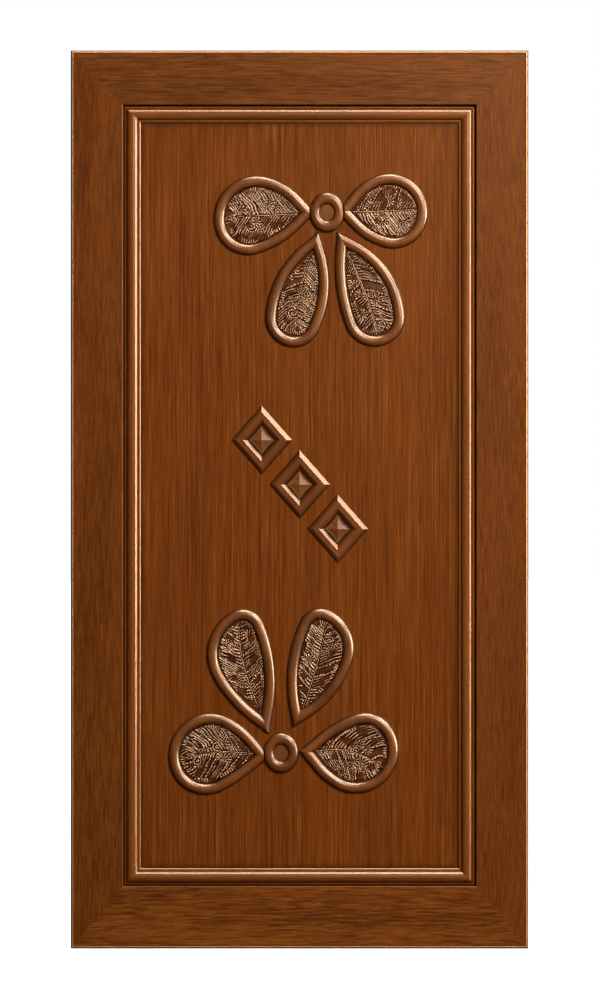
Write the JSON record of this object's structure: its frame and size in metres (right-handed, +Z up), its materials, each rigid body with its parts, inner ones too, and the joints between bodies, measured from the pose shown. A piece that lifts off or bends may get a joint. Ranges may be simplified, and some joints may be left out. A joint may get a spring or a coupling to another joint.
{
  "type": "carved door with frame",
  "caption": "Single carved timber door leaf with planted flower and diamond carving, bead moulding, hung on butt hinges in a mitred timber frame.",
  "frame": {"origin": "centre of the sill's underside, midway through the frame's depth", "axes": "+X across the opening to the viewer's right, +Y through the door towards the hinged back, +Z up"},
  "size_m": [1.07, 0.0685, 2.1],
  "materials": {
    "jamb_wood": "satin lacquered hardwood, grain upright",
    "head_sill_wood": "satin lacquered hardwood, grain level",
    "tenon_wood": "bare hardwood",
    "leaf_skin_wood": "satin lacquered veneer, fine upright grain",
    "leaf_core_wood": "bare hardwood",
    "moulding_wood": "gloss lacquered hardwood",
    "carving_wood": "gloss lacquered hardwood",
    "carved_leaf_wood": "gloss lacquered carved hardwood",
    "diamond_wood": "gloss lacquered hardwood",
    "hinge_brass": "aged brass",
    "pin_brass": "aged brass",
    "screw_brass": "aged brass"
  },
  "bodies": {
    "frame": {"head": "head_sill_wood", "hinge_bottom_frame_plate": "hinge_brass", "hinge_bottom_pin": "pin_brass", "hinge_middle_frame_plate": "hinge_brass", "hinge_middle_pin": "pin_brass", "hinge_screws_frame": "screw_brass", "hinge_top_frame_plate": "hinge_brass", "hinge_top_pin": "pin_brass", "jamb_left": "jamb_wood", "jamb_right": "jamb_wood", "sill": "head_sill_wood", "tenon_bottom_left": "tenon_wood", "tenon_bottom_right": "tenon_wood", "tenon_top_left": "tenon_wood", "tenon_top_right": "tenon_wood"},
    "leaf": {"boss_bottom": "carving_wood", "boss_top": "carving_wood", "diamond_frame_lower": "diamond_wood", "diamond_frame_middle": "diamond_wood", "diamond_frame_upper": "diamond_wood", "diamond_rosette_lower": "diamond_wood", "diamond_rosette_middle": "diamond_wood", "diamond_rosette_upper": "diamond_wood", "hinge_bottom_leaf_plate": "hinge_brass", "hinge_middle_leaf_plate": "hinge_brass", "hinge_screws_leaf": "screw_brass", "hinge_top_leaf_plate": "hinge_brass", "leaf_back_skin": "leaf_skin_wood", "leaf_core": "leaf_core_wood", "leaf_front_skin": "leaf_skin_wood", "leaf_rail_bottom": "leaf_core_wood", "leaf_rail_top": "leaf_core_wood", "leaf_stile_hinge": "leaf_core_wood", "leaf_stile_lock": "leaf_core_wood", "moulding_bottom": "moulding_wood", "moulding_left": "moulding_wood", "moulding_right": "moulding_wood", "moulding_top": "moulding_wood", "petal_panel_bottom_left": "carved_leaf_wood", "petal_panel_bottom_right": "carved_leaf_wood", "petal_panel_bottom_upper_left": "carved_leaf_wood", "petal_panel_bottom_upper_right": "carved_leaf_wood", "petal_panel_top_left": "carved_leaf_wood", "petal_panel_top_lower_left": "carved_leaf_wood", "petal_panel_top_lower_right": "carved_leaf_wood", "petal_panel_top_right": "carved_leaf_wood", "petal_ring_bottom_left": "carving_wood", "petal_ring_bottom_right": "carving_wood", "petal_ring_bottom_upper_left": "carving_wood", "petal_ring_bottom_upper_right": "carving_wood", "petal_ring_top_left": "carving_wood", "petal_ring_top_lower_left": "carving_wood", "petal_ring_top_lower_right": "carving_wood", "petal_ring_top_right": "carving_wood"}
  },
  "joints": [
    {"name": "leaf_swing", "type": "hinge", "parent": "frame", "child": "leaf", "pos_m": [-0.4235, 0.034, 1.05], "axis": [0, 0, 1], "range_deg": [0, 170]}
  ]
}
